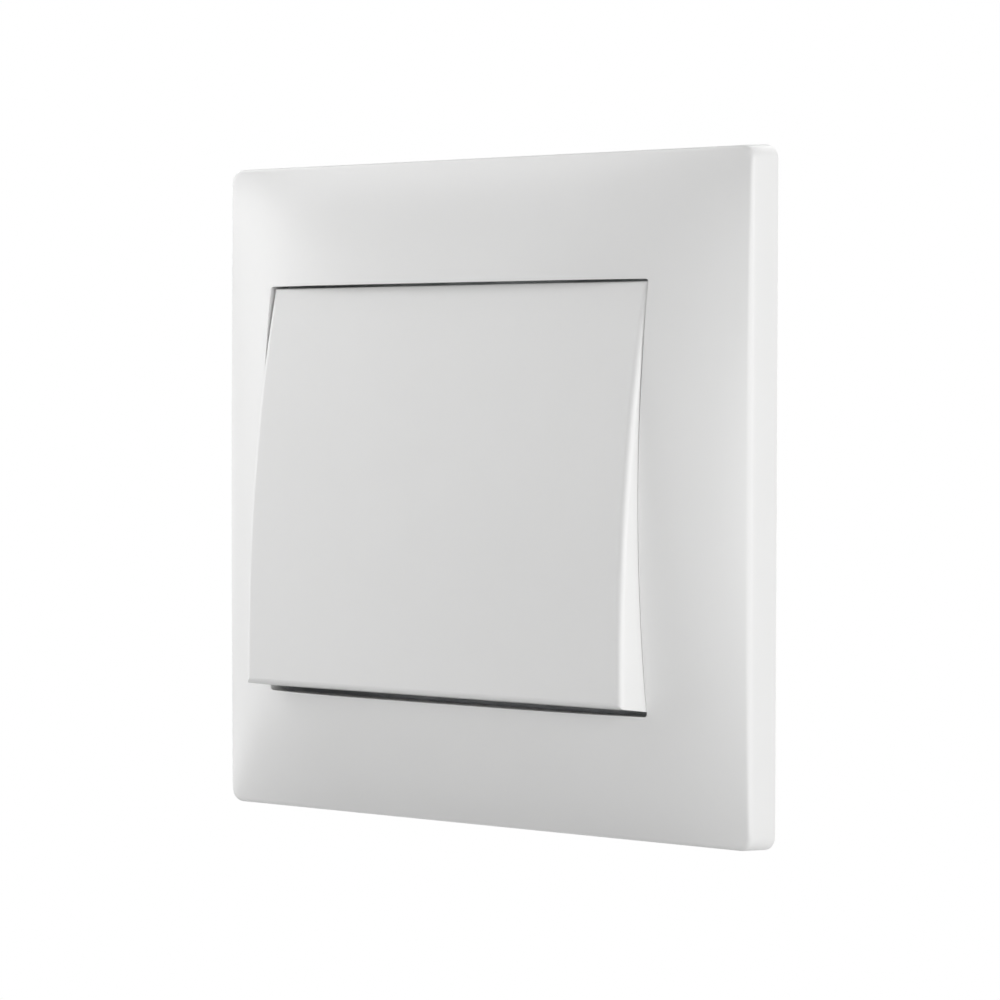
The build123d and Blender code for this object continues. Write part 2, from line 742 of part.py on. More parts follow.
# Terminals: a brass block on each strip with a wire bore, and the clamping screw in its outer side
for name, (x, z) in terminal_places.items():
    outward = z / abs(z)
    block_edge = z + outward * terminal_side / 2
    with BuildPart() as terminal_block:
        with BuildSketch(Plane.XZ.offset(-strip_front)):
            with Locations((x, z)):
                Rectangle(terminal_side, terminal_side)
                Circle(terminal_bore_radius, mode=Mode.SUBTRACT)
        extrude(amount=terminal_length)
        with BuildSketch(Plane.XY.offset(z)):
            with Locations((x, terminal_screw_depth)):
                Circle(terminal_screw_radius + fastener_gap)
        extrude(amount=outward * terminal_side, mode=Mode.SUBTRACT)
    terminal_block.part.label = f"{name}_terminal"
    export_step(terminal_block.part, f"parts/{name}_terminal.step")

    head_seat = block_edge + outward * terminal_screw_seat_gap
    head_face = head_seat + outward * terminal_screw_head
    screw_length = abs(head_seat) - abs(z) - terminal_bore_radius
    with BuildPart() as terminal_screw:
        with BuildSketch(Plane.XY.offset(head_seat)):
            with Locations((x, terminal_screw_depth)):
                Circle(terminal_screw_head_radius)
        extrude(amount=outward * terminal_screw_head)
        with BuildSketch(Plane.XY.offset(head_seat)):
            with Locations((x, terminal_screw_depth)):
                Circle(terminal_screw_radius)
        extrude(amount=-outward * screw_length)
        with BuildSketch(Plane.XY.offset(head_face)):
            with Locations((x, terminal_screw_depth)):
                Rectangle(2 * terminal_screw_head_radius, screw_slot_width)
        extrude(amount=-outward * screw_slot_depth, mode=Mode.SUBTRACT)
    terminal_screw.part.label = f"{name}_terminal_screw"
    export_step(terminal_screw.part, f"parts/{name}_terminal_screw.step")

# Claws: forked steel levers at the sides of the housing, each with the screw that spreads it
claw_end = claw_foot_depth + claw_length
claw_slot_length = 2 * (claw_screw_radius + claw_slot_gap + claw_slot_play)

for name, side in (("left", -1), ("right", 1)):
    claw_z = side * claw_offset
    screw_place = (side * claw_screw_x, claw_z)
    with BuildPart() as claw:
        with BuildSketch(Plane.XY.offset(claw_z)):
            with BuildLine():
                Polyline(
                    (side * (claw_x + claw_foot_length), claw_foot_depth),
                    (side * claw_x, claw_foot_depth),
                    (side * claw_x, claw_end),
                    (side * (claw_x + claw_tooth), claw_end),
                    (side * (claw_x + claw_tooth), claw_end - claw_thickness),
                    (side * (claw_x + claw_thickness), claw_end - claw_thickness),
                    (side * (claw_x + claw_thickness), claw_foot_depth + claw_thickness),
                    (side * (claw_x + claw_foot_length), claw_foot_depth + claw_thickness),
                    close=True,
                )
            make_face()
        extrude(amount=claw_width / 2, both=True)
        heel = claw.edges().filter_by(Axis.Z).sort_by_distance((side * claw_x, claw_foot_depth, claw_z))[0]
        fillet(heel, radius=claw_bend_radius)
        with BuildSketch(Plane.XZ.offset(-claw_foot_depth - claw_thickness)):
            with Locations((0, claw_z)):
                Rectangle(2 * (claw_x + claw_foot_length), claw_fork_gap)
        extrude(amount=-claw_length, mode=Mode.SUBTRACT)
        arm_z = (claw_fork_gap + claw_width) / 4
        tooth_edge = side * (claw_x + claw_tooth)
        with BuildSketch(Plane.XZ.offset(-claw_end)):
            for arm_place in (claw_z - arm_z, claw_z + arm_z):
                with BuildLine():
                    Polyline(
                        (tooth_edge, arm_place - claw_notch_width / 2),
                        (tooth_edge - side * claw_notch_depth, arm_place),
                        (tooth_edge, arm_place + claw_notch_width / 2),
                        close=True,
                    )
                make_face()
        extrude(amount=claw_thickness, mode=Mode.SUBTRACT)
        with BuildSketch(Plane.XZ.offset(-claw_foot_depth)):
            with Locations(screw_place):
                SlotOverall(claw_slot_length, 2 * (claw_screw_radius + claw_slot_gap))
        extrude(amount=-claw_thickness, mode=Mode.SUBTRACT)
    claw.part.label = f"claw_{name}"
    export_step(claw.part, f"parts/claw_{name}.step")

    with BuildPart() as claw_screw:
        with BuildSketch(Plane.XZ.offset(ring_thickness)):
            with Locations(screw_place):
                Circle(claw_screw_head_radius)
        extrude(amount=claw_screw_head)
        with BuildSketch(Plane.XZ.offset(ring_thickness)):
            with Locations(screw_place):
                Circle(claw_screw_radius)
        extrude(amount=-claw_screw_length)
        with BuildSketch(Plane.XZ.offset(ring_thickness + claw_screw_head)):
            with Locations(screw_place):
                Rectangle(2 * claw_screw_head_radius, screw_slot_width)
        extrude(amount=-screw_slot_depth, mode=Mode.SUBTRACT)
    claw_screw.part.label = f"claw_screw_{name}"
    export_step(claw_screw.part, f"parts/claw_screw_{name}.step")
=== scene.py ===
from math import cos, pi, radians, sin, tan

import bpy
import numpy as np
from mathutils import Matrix, Vector


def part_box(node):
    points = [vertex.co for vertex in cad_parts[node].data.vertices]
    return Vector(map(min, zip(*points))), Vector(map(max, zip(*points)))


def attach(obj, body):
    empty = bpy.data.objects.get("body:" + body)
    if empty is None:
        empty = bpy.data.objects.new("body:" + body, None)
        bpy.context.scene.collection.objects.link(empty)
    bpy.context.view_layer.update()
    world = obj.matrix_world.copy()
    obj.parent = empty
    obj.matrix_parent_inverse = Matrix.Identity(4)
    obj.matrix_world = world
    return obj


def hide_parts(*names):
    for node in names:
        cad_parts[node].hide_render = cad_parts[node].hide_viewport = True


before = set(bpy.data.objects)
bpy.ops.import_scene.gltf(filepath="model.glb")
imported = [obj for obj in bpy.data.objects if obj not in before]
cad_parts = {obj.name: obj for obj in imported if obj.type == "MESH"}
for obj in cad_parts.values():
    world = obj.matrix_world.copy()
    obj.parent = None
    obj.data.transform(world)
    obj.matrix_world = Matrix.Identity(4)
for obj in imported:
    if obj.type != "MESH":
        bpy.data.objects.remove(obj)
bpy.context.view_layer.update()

# Mechanism housing: the box that hangs in the wall box and holds the contact works and terminals.
# It is injection moulded in pale thermoplastic, with the fine skin of a spark-eroded mould.
# The ears at its front are riveted to the support ring.


def place_node(tree, kind, sockets=None, **options):
    """Adds a node, sets its options, and gives each named input a value or a link."""
    made = tree.nodes.new(kind)
    for option, value in options.items():
        setattr(made, option, value)
    for name, value in (sockets or {}).items():
        if isinstance(value, bpy.types.NodeSocket):
            tree.links.new(value, made.inputs[name])
        else:
            made.inputs[name].default_value = value
    return made


def reckon(tree, operation, *terms):
    """Adds a sum of one to three terms, each a number or a socket, and returns its result."""
    made = place_node(tree, "ShaderNodeMath", dict(enumerate(terms)), operation=operation)
    return made.outputs[0]


def vector(tree, **parts):
    """Joins the named parts into a vector."""
    return place_node(tree, "ShaderNodeCombineXYZ", parts).outputs[0]


def noise(tree, place, scale, detail, roughness):
    """Adds a noise over a place, and returns its grey value."""
    sockets = {"Vector": place, "Scale": scale, "Detail": detail, "Roughness": roughness}
    return place_node(tree, "ShaderNodeTexNoise", sockets).outputs["Fac"]


def spread(tree, value, start, end, low, high, **options):
    """Maps a value that runs from start to end onto low to high, and returns the result."""
    sockets = {"Value": value, "From Min": start, "From Max": end, "To Min": low, "To Max": high}
    return place_node(tree, "ShaderNodeMapRange", sockets, **options).outputs["Result"]


def surface_group(name, inputs):
    """An empty shader group that reads a place and gives a shade, a gloss and a grain."""
    group = bpy.data.node_groups.new(name, "ShaderNodeTree")
    group.interface.new_socket("Place", in_out="INPUT", socket_type="NodeSocketVector")
    for socket in inputs:
        group.interface.new_socket(socket, in_out="INPUT", socket_type="NodeSocketFloat")
    for socket in ("Shade", "Gloss", "Grain"):
        group.interface.new_socket(socket, in_out="OUTPUT", socket_type="NodeSocketFloat")
    given, put_out = group.nodes.new("NodeGroupInput"), group.nodes.new("NodeGroupOutput")
    return group, given.outputs, put_out.inputs


# Skin of a moulding: slow clouds in the shade, a fine grain and a gloss that follows both
moulded_skin, given, put_out = surface_group(
    "moulded_skin", ("Cloud Scale", "Grain Scale", "Shade Depth", "Gloss Low", "Gloss High")
)
cloud_share = 0.5
cloud_low, cloud_high = 0.3, 0.7
clouds = noise(moulded_skin, given["Place"], given["Cloud Scale"], detail=3.0, roughness=0.55)
pores = noise(moulded_skin, given["Place"], given["Grain Scale"], detail=2.0, roughness=0.6)
unevenness = reckon(
    moulded_skin,
    "ADD",
    reckon(moulded_skin, "MULTIPLY", clouds, cloud_share),
    reckon(moulded_skin, "MULTIPLY", pores, 1.0 - cloud_share),
)
darkest = reckon(moulded_skin, "SUBTRACT", 1.0, given["Shade Depth"])
shade = spread(moulded_skin, clouds, cloud_low, cloud_high, darkest, 1.0)
gloss = spread(
    moulded_skin, unevenness, cloud_low, cloud_high, given["Gloss Low"], given["Gloss High"]
)
moulded_skin.links.new(shade, put_out["Shade"])
moulded_skin.links.new(gloss, put_out["Gloss"])
moulded_skin.links.new(pores, put_out["Grain"])


def finish_material(name, group, colour, values, grain_depth, metal=0.0, ior=1.5):
    """A material whose colour, roughness and normal come from one of the surface groups."""
    made = bpy.data.materials.new(name)
    made.use_nodes = True
    tree = made.node_tree
    shader = tree.nodes["Principled BSDF"]
    shader.inputs["Metallic"].default_value = metal
    shader.inputs["IOR"].default_value = ior
    place = tree.nodes.new("ShaderNodeTexCoord").outputs["Object"]
    surface = place_node(tree, "ShaderNodeGroup", {"Place": place, **values}, node_tree=group)
    tint = place_node(
        tree,
        "ShaderNodeMix",
        {0: 1.0, 6: (*colour, 1.0), 7: surface.outputs["Shade"]},
        data_type="RGBA",
        blend_type="MULTIPLY",
    )
    bump = place_node(
        tree,
        "ShaderNodeBump",
        {"Height": surface.outputs["Grain"], "Strength": 1.0, "Distance": grain_depth},
    )
    tree.links.new(tint.outputs[2], shader.inputs["Base Color"])
    tree.links.new(surface.outputs["Gloss"], shader.inputs["Roughness"])
    tree.links.new(bump.outputs["Normal"], shader.inputs["Normal"])
    return made


def finish_nodes(material, *names):
    """Gives carried-over nodes of the frame their finish."""
    for name in names:
        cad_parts[name].material_slots[0].material = material


pale_moulding = finish_material(
    "pale_moulding",
    moulded_skin,
    (0.62, 0.63, 0.62),
    {
        "Cloud Scale": 160.0,
        "Grain Scale": 3200.0,
        "Shade Depth": 0.07,
        "Gloss Low": 0.42,
        "Gloss High": 0.62,
    },
    grain_depth=0.00003,
)
finish_nodes(pale_moulding, "mechanism_housing")

# Faint rings that the ejector pins and the gate leave in the skin on the back of the housing
pin_across, pin_upright, pin_radius = 0.0070, 0.0075, 0.0016
gate_radius = 0.0008
ring_half_width, ring_depth = 0.00012, 2.0
back_start = 0.0195
tree = pale_moulding.node_tree
place = tree.nodes.new("ShaderNodeTexCoord").outputs["Object"]
spot = place_node(tree, "ShaderNodeSeparateXYZ", {0: place}).outputs


def witness_ring(across, upright, radius):
    """Depth of a fine ring at a distance from the middle, the same in all four quarters."""
    offset = vector(
        tree,
        X=reckon(tree, "SUBTRACT", reckon(tree, "ABSOLUTE", spot["X"]), across),
        Z=reckon(tree, "SUBTRACT", reckon(tree, "ABSOLUTE", spot["Z"]), upright),
    )
    reach = place_node(tree, "ShaderNodeVectorMath", {0: offset}, operation="LENGTH")
    from_line = reckon(tree, "SUBTRACT", reach.outputs["Value"], radius)
    from_line = reckon(tree, "ABSOLUTE", from_line)
    return spread(
        tree, from_line, 0.0, ring_half_width, ring_depth, 0.0, interpolation_type="SMOOTHSTEP"
    )


pressed = reckon(
    tree,
    "ADD",
    witness_ring(pin_across, pin_upright, pin_radius),
    witness_ring(0.0, 0.0, gate_radius),
)
pressed = reckon(tree, "MULTIPLY", pressed, reckon(tree, "GREATER_THAN", spot["Y"], back_start))
bump = next(node for node in tree.nodes if node.type == "BUMP")
grain = bump.inputs["Height"].links[0].from_socket
tree.links.new(reckon(tree, "SUBTRACT", grain, pressed), bump.inputs["Height"])

# Contact strips and fixed contacts: three stampings on the housing's floor, two riveted contacts.
# The strips are blanked from rolled brass sheet, so a fine grain runs along them.
# The contacts are solid silver rivets, slightly tarnished.

# Grain of rolled sheet: long fine lines across a slow change of shade
rolled_grain, given, put_out = surface_group(
    "rolled_grain", ("Cloud Scale", "Line Scale", "Shade Depth", "Gloss Low", "Gloss High")
)
line_stretch = (0.04, 1.0, 1.0)
line_share = 0.4
worn_low, worn_high = 0.35, 0.65
stretched = place_node(
    rolled_grain,
    "ShaderNodeVectorMath",
    {0: given["Place"], 1: line_stretch},
    operation="MULTIPLY",
)
lines = noise(rolled_grain, stretched.outputs[0], given["Line Scale"], detail=3.0, roughness=0.6)
tarnish = noise(rolled_grain, given["Place"], given["Cloud Scale"], detail=4.0, roughness=0.6)
worn = reckon(
    rolled_grain,
    "ADD",
    reckon(rolled_grain, "MULTIPLY", lines, line_share),
    reckon(rolled_grain, "MULTIPLY", tarnish, 1.0 - line_share),
)
darkest = reckon(rolled_grain, "SUBTRACT", 1.0, given["Shade Depth"])
shade = spread(rolled_grain, worn, worn_low, worn_high, darkest, 1.0)
gloss = spread(rolled_grain, worn, worn_low, worn_high, given["Gloss High"], given["Gloss Low"])
rolled_grain.links.new(shade, put_out["Shade"])
rolled_grain.links.new(gloss, put_out["Gloss"])
rolled_grain.links.new(lines, put_out["Grain"])

brass = finish_material(
    "brass",
    rolled_grain,
    (0.82, 0.60, 0.27),
    {
        "Cloud Scale": 220.0,
        "Line Scale": 2600.0,
        "Shade Depth": 0.22,
        "Gloss Low": 0.22,
        "Gloss High": 0.42,
    },
    grain_depth=0.000004,
    metal=1.0,
)
silver = finish_material(
    "silver",
    rolled_grain,
    (0.88, 0.87, 0.84),
    {
        "Cloud Scale": 500.0,
        "Line Scale": 3000.0,
        "Shade Depth": 0.18,
        "Gloss Low": 0.20,
        "Gloss High": 0.36,
    },
    grain_depth=0.000003,
    metal=1.0,
)
finish_nodes(brass, "common_strip", "upper_strip", "lower_strip")
finish_nodes(silver, "upper_contact", "lower_contact")

# Terminals: brass blocks on the strips, each with a bore for the wire and a screw that clamps it.
# The screws are zinc-plated steel with a slotted cheese head and a rolled thread.
# They go in from the top and bottom of the housing.
finish_nodes(brass, "common_terminal", "upper_terminal", "lower_terminal")

zinc_steel = finish_material(
    "zinc_steel",
    rolled_grain,
    (0.53, 0.54, 0.555),
    {
        "Cloud Scale": 120.0,
        "Line Scale": 1800.0,
        "Shade Depth": 0.16,
        "Gloss Low": 0.38,
        "Gloss High": 0.56,
    },
    grain_depth=0.000006,
    metal=1.0,
)


def new_tree(name, sizes):
    """An empty geometry tree with a geometry and a material to take in, and named sizes."""
    tree = bpy.data.node_groups.new(name, "GeometryNodeTree")
    tree.interface.new_socket("Geometry", in_out="INPUT", socket_type="NodeSocketGeometry")
    for size in sizes:
        tree.interface.new_socket(size, in_out="INPUT", socket_type="NodeSocketFloat")
    tree.interface.new_socket("Finish", in_out="INPUT", socket_type="NodeSocketMaterial")
    tree.interface.new_socket("Geometry", in_out="OUTPUT", socket_type="NodeSocketGeometry")
    return tree, tree.nodes.new("NodeGroupInput").outputs


def end_tree(tree, geometry, finish, crease=40.0):
    """Realizes the instances, creases the sharp edges, gives the finish and puts the result out."""
    real = place_node(tree, "GeometryNodeRealizeInstances", {"Geometry": geometry})
    smooth = place_node(
        tree,
        "GeometryNodeSetShadeSmooth",
        {"Geometry": real.outputs[0], "Shade Smooth": True},
        domain="FACE",
    )
    bend = tree.nodes.new("GeometryNodeInputMeshEdgeAngle").outputs["Unsigned Angle"]
    slight = reckon(tree, "LESS_THAN", bend, radians(crease))
    soft = place_node(
        tree,
        "GeometryNodeSetShadeSmooth",
        {"Geometry": smooth.outputs[0], "Shade Smooth": slight},
        domain="EDGE",
    )
    finished = place_node(
        tree, "GeometryNodeSetMaterial", {"Geometry": soft.outputs[0], "Material": finish}
    )
    tree.links.new(finished.outputs[0], tree.nodes.new("NodeGroupOutput").inputs["Geometry"])


def grow(name, tree, base, sizes):
    """Runs a geometry tree over a base mesh and keeps the result as a plain piece."""
    piece = bpy.data.objects.new(name, base)
    bpy.context.scene.collection.objects.link(piece)
    growth = piece.modifiers.new(tree.name, "NODES")
    growth.node_group = tree
    for socket in tree.interface.items_tree:
        if socket.in_out == "INPUT" and socket.name in sizes:
            growth[socket.identifier] = sizes[socket.name]
    grown = piece.evaluated_get(bpy.context.evaluated_depsgraph_get())
    piece.data = bpy.data.meshes.new_from_object(grown)
    piece.data.name = name
    piece.modifiers.clear()
    return piece


def turned(tree, around, along, shape):
    """A closed turned shape, whose radius and height come from the turn and the share along."""
    seam_width = 1e-6
    sheet = place_node(
        tree,
        "GeometryNodeMeshGrid",
        {"Size X": 1.0, "Size Y": 1.0, "Vertices X": around + 1, "Vertices Y": along},
    )
    position = tree.nodes.new("GeometryNodeInputPosition").outputs[0]
    spot = place_node(tree, "ShaderNodeSeparateXYZ", {0: position}).outputs
    turn = reckon(tree, "MULTIPLY", reckon(tree, "ADD", spot["X"], 0.5), -2 * pi)
    radius, height = shape(turn, reckon(tree, "ADD", spot["Y"], 0.5))
    rolled = vector(
        tree,
        X=reckon(tree, "MULTIPLY", radius, reckon(tree, "COSINE", turn)),
        Y=reckon(tree, "MULTIPLY", radius, reckon(tree, "SINE", turn)),
        Z=height,
    )
    moved = place_node(
        tree,
        "GeometryNodeSetPosition",
        {"Geometry": sheet.outputs["Mesh"], "Position": rolled},
    )
    closed = place_node(
        tree,
        "GeometryNodeMergeByDistance",
        {"Geometry": moved.outputs[0], "Distance": seam_width},
    )
    return closed.outputs[0]


def button(tree, radius, height, squareness, dome_share=0.75):
    """A head with a flat seat at height 0: a dome for a squareness of 1, squarer as it nears 0."""

    def shape(turn, share):
        """Goes down the dome for its share of the way, and then in over the seat."""
        over_dome = reckon(tree, "MINIMUM", reckon(tree, "DIVIDE", share, dome_share), 1.0)
        fall = reckon(tree, "MULTIPLY", over_dome, pi / 2)
        bulge = reckon(tree, "POWER", reckon(tree, "SINE", fall), squareness)
        to_middle = reckon(tree, "SUBTRACT", 1.0, share)
        to_middle = reckon(tree, "DIVIDE", to_middle, 1.0 - dome_share)
        seat = reckon(tree, "MINIMUM", to_middle, 1.0)
        level = reckon(tree, "MAXIMUM", reckon(tree, "COSINE", fall), 0.0)
        level = reckon(tree, "POWER", level, squareness)
        return (
            reckon(tree, "MULTIPLY", reckon(tree, "MULTIPLY", radius, bulge), seat),
            reckon(tree, "MULTIPLY", height, level),
        )

    return turned(tree, around=40, along=33, shape=shape)


def stand_on_axis(tree):
    """A rotation that stands a fastener up along the axis of its point."""
    axis = place_node(
        tree, "GeometryNodeInputNamedAttribute", {"Name": "axis"}, data_type="FLOAT_VECTOR"
    )
    upright = place_node(
        tree, "FunctionNodeAlignRotationToVector", {"Vector": axis.outputs["Attribute"]}, axis="Z"
    )
    return upright.outputs[0]


# Slotted screw: a cheese head and a threaded shank at each point, turned to the point's own axis
screw_tree, given = new_tree(
    "slotted_screw",
    (
        "Head Radius",
        "Head Height",
        "Shank Radius",
        "Shank Length",
        "Pitch",
        "Slot Width",
        "Slot Depth",
    ),
)
rows_per_turn = 7.0
groove_share = 0.55
end_share = 0.02


def threaded(turn, share):
    """A grooved shank whose two ends close to the middle in a small share of the way."""
    along = reckon(screw_tree, "MULTIPLY_ADD", share, 1.0 + 2 * end_share, -end_share)
    along = reckon(screw_tree, "MAXIMUM", along, 0.0)
    along = reckon(screw_tree, "MULTIPLY", along, given["Shank Length"])
    along = reckon(screw_tree, "MINIMUM", along, given["Shank Length"])
    height = reckon(screw_tree, "MULTIPLY", along, -1.0)
    phase = reckon(
        screw_tree,
        "SUBTRACT",
        reckon(screw_tree, "DIVIDE", height, given["Pitch"]),
        reckon(screw_tree, "DIVIDE", turn, 2 * pi),
    )
    groove = reckon(screw_tree, "MULTIPLY", reckon(screw_tree, "PINGPONG", phase, 0.5), 2.0)
    depth = reckon(screw_tree, "MULTIPLY", groove, given["Pitch"])
    depth = reckon(screw_tree, "MULTIPLY", depth, groove_share)
    ends = reckon(
        screw_tree,
        "MINIMUM",
        reckon(screw_tree, "MULTIPLY", reckon(screw_tree, "SUBTRACT", 1.0, share), 1.0 / end_share),
        reckon(screw_tree, "MULTIPLY", share, 1.0 / end_share),
    )
    closing = reckon(screw_tree, "MINIMUM", ends, 1.0)
    radius = reckon(screw_tree, "SUBTRACT", given["Shank Radius"], depth)
    return reckon(screw_tree, "MULTIPLY", radius, closing), height


thread_turns = reckon(screw_tree, "DIVIDE", given["Shank Length"], given["Pitch"])
thread_rows = reckon(screw_tree, "MULTIPLY", thread_turns, rows_per_turn)
shank = turned(screw_tree, around=28, along=thread_rows, shape=threaded)
head = button(screw_tree, given["Head Radius"], given["Head Height"], squareness=0.16)

# The cutter of the slot is longer than the head is wide, and half of it stands above the head
cutter_size = vector(
    screw_tree,
    X=reckon(screw_tree, "MULTIPLY", given["Head Radius"], 3.0),
    Y=given["Slot Width"],
    Z=reckon(screw_tree, "MULTIPLY", given["Slot Depth"], 2.0),
)
cutter = place_node(screw_tree, "GeometryNodeMeshCube", {"Size": cutter_size})
cutter = place_node(
    screw_tree,
    "GeometryNodeTransform",
    {
        "Geometry": cutter.outputs["Mesh"],
        "Translation": vector(screw_tree, Z=given["Head Height"]),
    },
)
slotted = place_node(screw_tree, "GeometryNodeMeshBoolean", operation="DIFFERENCE", solver="EXACT")
screw_tree.links.new(head, slotted.inputs[0])
screw_tree.links.new(cutter.outputs[0], slotted.inputs[1])
whole = screw_tree.nodes.new("GeometryNodeJoinGeometry")
screw_tree.links.new(slotted.outputs["Mesh"], whole.inputs[0])
screw_tree.links.new(shank, whole.inputs[0])
chance = place_node(
    screw_tree, "FunctionNodeRandomValue", {2: 0.0, 3: pi, "Seed": 7}, data_type="FLOAT"
)
twist = place_node(screw_tree, "FunctionNodeAxisAngleToRotation", {"Angle": chance.outputs[1]})
tightened = place_node(
    screw_tree,
    "FunctionNodeRotateRotation",
    {"Rotation": stand_on_axis(screw_tree), "Rotate By": twist.outputs[0]},
    rotation_space="LOCAL",
)
screws = place_node(
    screw_tree,
    "GeometryNodeInstanceOnPoints",
    {"Points": given["Geometry"], "Instance": whole.outputs[0], "Rotation": tightened.outputs[0]},
)
end_tree(screw_tree, screws.outputs[0], given["Finish"])


def axis_points(name, places):
    """Loose points, each with the axis of the fastener that stands on it."""
    points = bpy.data.meshes.new(name)
    points.from_pydata([place for place, _ in places], [], [])
    axes = points.attributes.new("axis", "FLOAT_VECTOR", "POINT")
    axes.data.foreach_set("vector", np.array([axis for _, axis in places], float).ravel())
    return points


slot_width, slot_depth = 0.0007, 0.0007
terminal_head_height = 0.0018
terminal_seats = []
for name in ("common_terminal_screw", "upper_terminal_screw", "lower_terminal_screw"):
    low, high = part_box(name)
    middle = (low + high) / 2
    if middle.z > 0:
        seat = high.z - terminal_head_height
        terminal_seats.append(((middle.x, middle.y, seat), (0, 0, 1)))
    else:
        seat = low.z + terminal_head_height
        terminal_seats.append(((middle.x, middle.y, seat), (0, 0, -1)))
terminal_screws = grow(
    "terminal_screws",
    screw_tree,
    axis_points("terminal_screws", terminal_seats),
    {
        "Head Radius": 0.0022,
        "Head Height": terminal_head_height,
        "Shank Radius": 0.0015,
        "Shank Length": 0.0022,
        "Pitch": 0.0005,
        "Slot Width": slot_width,
        "Slot Depth": slot_depth,
        "Finish": zinc_steel,
    },
)
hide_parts("common_terminal_screw", "upper_terminal_screw", "lower_terminal_screw")
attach(terminal_screws, "base")

# Contact lever: the see-saw blade that joins the common strip to one fixed contact or the other.
# It is blanked and bent from brass sheet, and rocks on the knife edge of the common strip.
# A silver rivet on each arm makes the contact.
finish_nodes(brass, "contact_lever")
finish_nodes(silver, "lever_contacts")

# Mechanism cover: closes the housing, holds the terminals down and bears the rocker's cradle.
# It is moulded in the housing's plastic and held by two self-tapping screws of zinc-plated steel.
finish_nodes(pale_moulding, "mechanism_cover")
cover_head_radius, cover_head_height = 0.0023, 0.0012
low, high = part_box("cover_screws")
cover_seats = [
    ((x, low.y + cover_head_height, 0.0), (0, -1, 0))
    for x in (low.x + cover_head_radius, high.x - cover_head_radius)
]
cover_screws = grow(
    "cover_screw_pair",
    screw_tree,
    axis_points("cover_screw_pair", cover_seats),
    {
        "Head Radius": cover_head_radius,
        "Head Height": cover_head_height,
        "Shank Radius": 0.00125,
        "Shank Length": 0.009,
        "Pitch": 0.0009,
        "Slot Width": slot_width,
        "Slot Depth": slot_depth,
        "Finish": zinc_steel,
    },
)
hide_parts("cover_screws")
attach(cover_screws, "base")

# Plunger and its spring: the sprung cup under the rocker that pushes the lever over its middle.
# The cup is moulded in grey low-friction plastic, and runs in the hub of the cradle.
# The spring is wound from round spring-steel wire.
grey_moulding = finish_material(
    "grey_moulding",
    moulded_skin,
    (0.36, 0.37, 0.38),
    {
        "Cloud Scale": 180.0,
        "Grain Scale": 2800.0,
        "Shade Depth": 0.08,
        "Gloss Low": 0.38,
        "Gloss High": 0.56,
    },
    grain_depth=0.00002,
)
finish_nodes(grey_moulding, "plunger")
spring_steel = finish_material(
    "spring_steel",
    rolled_grain,
    (0.52, 0.52, 0.54),
    {
        "Cloud Scale": 700.0,
        "Line Scale": 3600.0,
        "Shade Depth": 0.2,
        "Gloss Low": 0.24,
        "Gloss High": 0.4,
    },
    grain_depth=0.000003,
    metal=1.0,
)
spring_tree, given = new_tree(
    "wound_spring",
    ("Coil Radius", "Wire Radius", "Length", "Turns", "Start", "Out", "Lean"),
)
coil = place_node(
    spring_tree,
    "GeometryNodeCurveSpiral",
    {
        "Resolution": 32,
        "Rotations": given["Turns"],
        "Start Radius": given["Coil Radius"],
        "End Radius": given["Coil Radius"],
        "Height": given["Length"],
    },
)
wire = place_node(
    spring_tree,
    "GeometryNodeCurvePrimitiveCircle",
    {"Resolution": 12, "Radius": given["Wire Radius"]},
)
wound = place_node(
    spring_tree,
    "GeometryNodeCurveToMesh",
    {"Curve": coil.outputs[0], "Profile Curve": wire.outputs[0], "Fill Caps": True},
)
lifted = place_node(
    spring_tree,
    "GeometryNodeTransform",
    {"Geometry": wound.outputs[0], "Translation": vector(spring_tree, Z=given["Start"])},
)
leaned = place_node(
    spring_tree,
    "GeometryNodeTransform",
    {
        "Geometry": lifted.outputs[0],
        "Translation": vector(spring_tree, Y=given["Out"]),
        "Rotation": vector(spring_tree, X=given["Lean"]),
    },
)
end_tree(spring_tree, leaned.outputs[0], given["Finish"])

# Heights along the spring are from the rocker's pivot, which stands out from the wall
wire_radius = 0.00025
cup_floor, hub_end = -0.0182976, 0.0024
pivot_out, rocker_tilt = 0.007, 6
spring = grow(
    "wound_spring",
    spring_tree,
    bpy.data.meshes.new("wound_spring"),
    {
        "Coil Radius": 0.00115,
        "Wire Radius": wire_radius,
        "Length": hub_end - cup_floor - 2 * wire_radius,
        "Turns": 8.0,
        "Start": cup_floor + wire_radius,
        "Out": -pivot_out,
        "Lean": radians(90 - rocker_tilt),
        "Finish": spring_steel,
    },
)
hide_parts("plunger_spring")
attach(spring, "rocker")

# Rocker cradle: the plate behind the rocker, with the trunnions that it turns on.
# It is moulded in grey plastic and snaps into the cheeks of the mechanism cover.
finish_nodes(grey_moulding, "rocker_cradle")

# Support ring: the plate that is screwed to the wall box and carries everything else.
# It is stamped from zinc-plated steel sheet, and four domed rivets hold the housing on it.
finish_nodes(zinc_steel, "support_ring")
rivet_tree, given = new_tree("domed_rivet", ("Head Radius", "Head Height", "Shank Radius", "Grip"))


def down_the_grip(share):
    """A place on the rivet's axis, a share of the grip below its closing head."""
    return vector(rivet_tree, Z=reckon(rivet_tree, "MULTIPLY", given["Grip"], -share))


